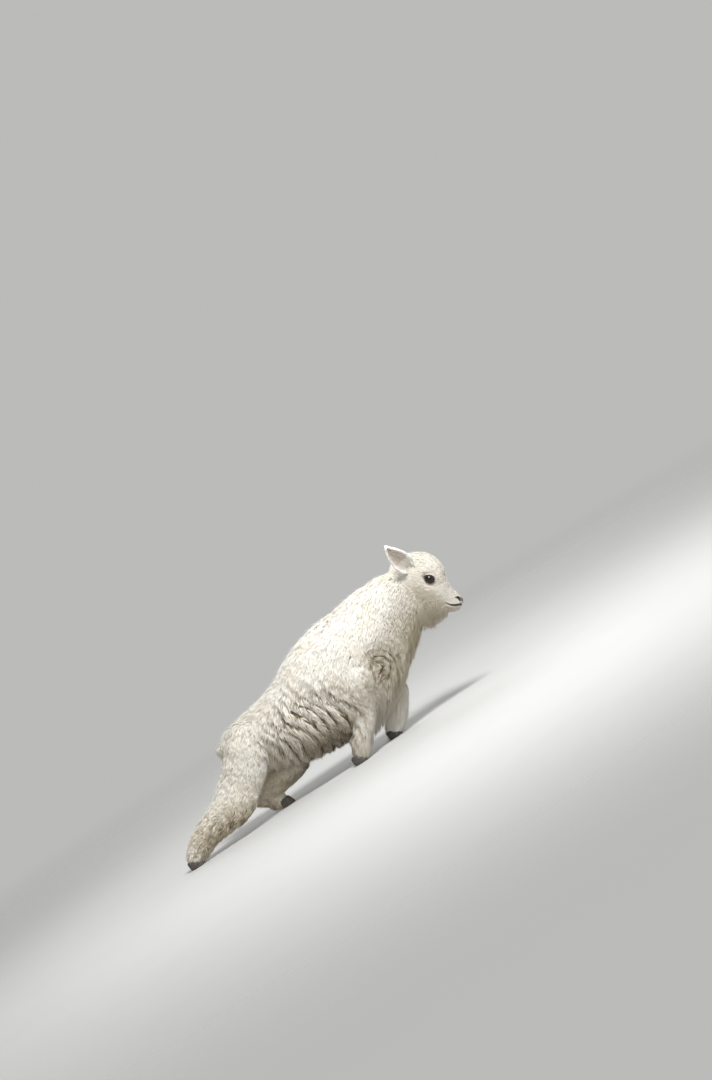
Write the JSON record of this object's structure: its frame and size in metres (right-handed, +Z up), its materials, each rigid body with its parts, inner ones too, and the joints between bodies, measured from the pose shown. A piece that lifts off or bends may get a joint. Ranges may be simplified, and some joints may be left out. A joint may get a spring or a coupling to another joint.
{
  "type": "mountain goat kid",
  "caption": "Life-size still model of a young mountain goat kid with a white woolly coat, striding uphill with its head low.",
  "frame": {"origin": "on the ground, below the middle of the model's bounding box", "axes": "+X forwards, the way the nose and the stride go; +Y to the kid's own left; +Z up, with all hoof soles at Z 0"},
  "size_m": [0.8584, 0.1648, 0.3858],
  "materials": {
    "coat": "soft matt wool and short fur",
    "hoof": "dull horn",
    "eye": "wet gloss",
    "nose": "damp bare skin"
  },
  "bodies": {
    "root": {"eye_right": "eye", "eye_left": "eye", "head": "coat", "ear_right": "coat", "ear_left": "coat", "fore_right_toe_outer": "hoof", "fore_right_toe_inner": "hoof", "fore_left_toe_outer": "hoof", "fore_left_toe_inner": "hoof", "hind_right_toe_outer": "hoof", "hind_right_toe_inner": "hoof", "hind_left_toe_outer": "hoof", "hind_left_toe_inner": "hoof", "fore_right_upper": "coat", "fore_right_lower": "coat", "fore_left_upper": "coat", "fore_left_lower": "coat", "hind_right_thigh": "coat", "hind_right_shank": "coat", "hind_right_cannon": "coat", "hind_left_thigh": "coat", "hind_left_shank": "coat", "hind_left_cannon": "coat", "tail": "coat", "neck": "coat", "torso": "coat"}
  },
  "joints": []
}
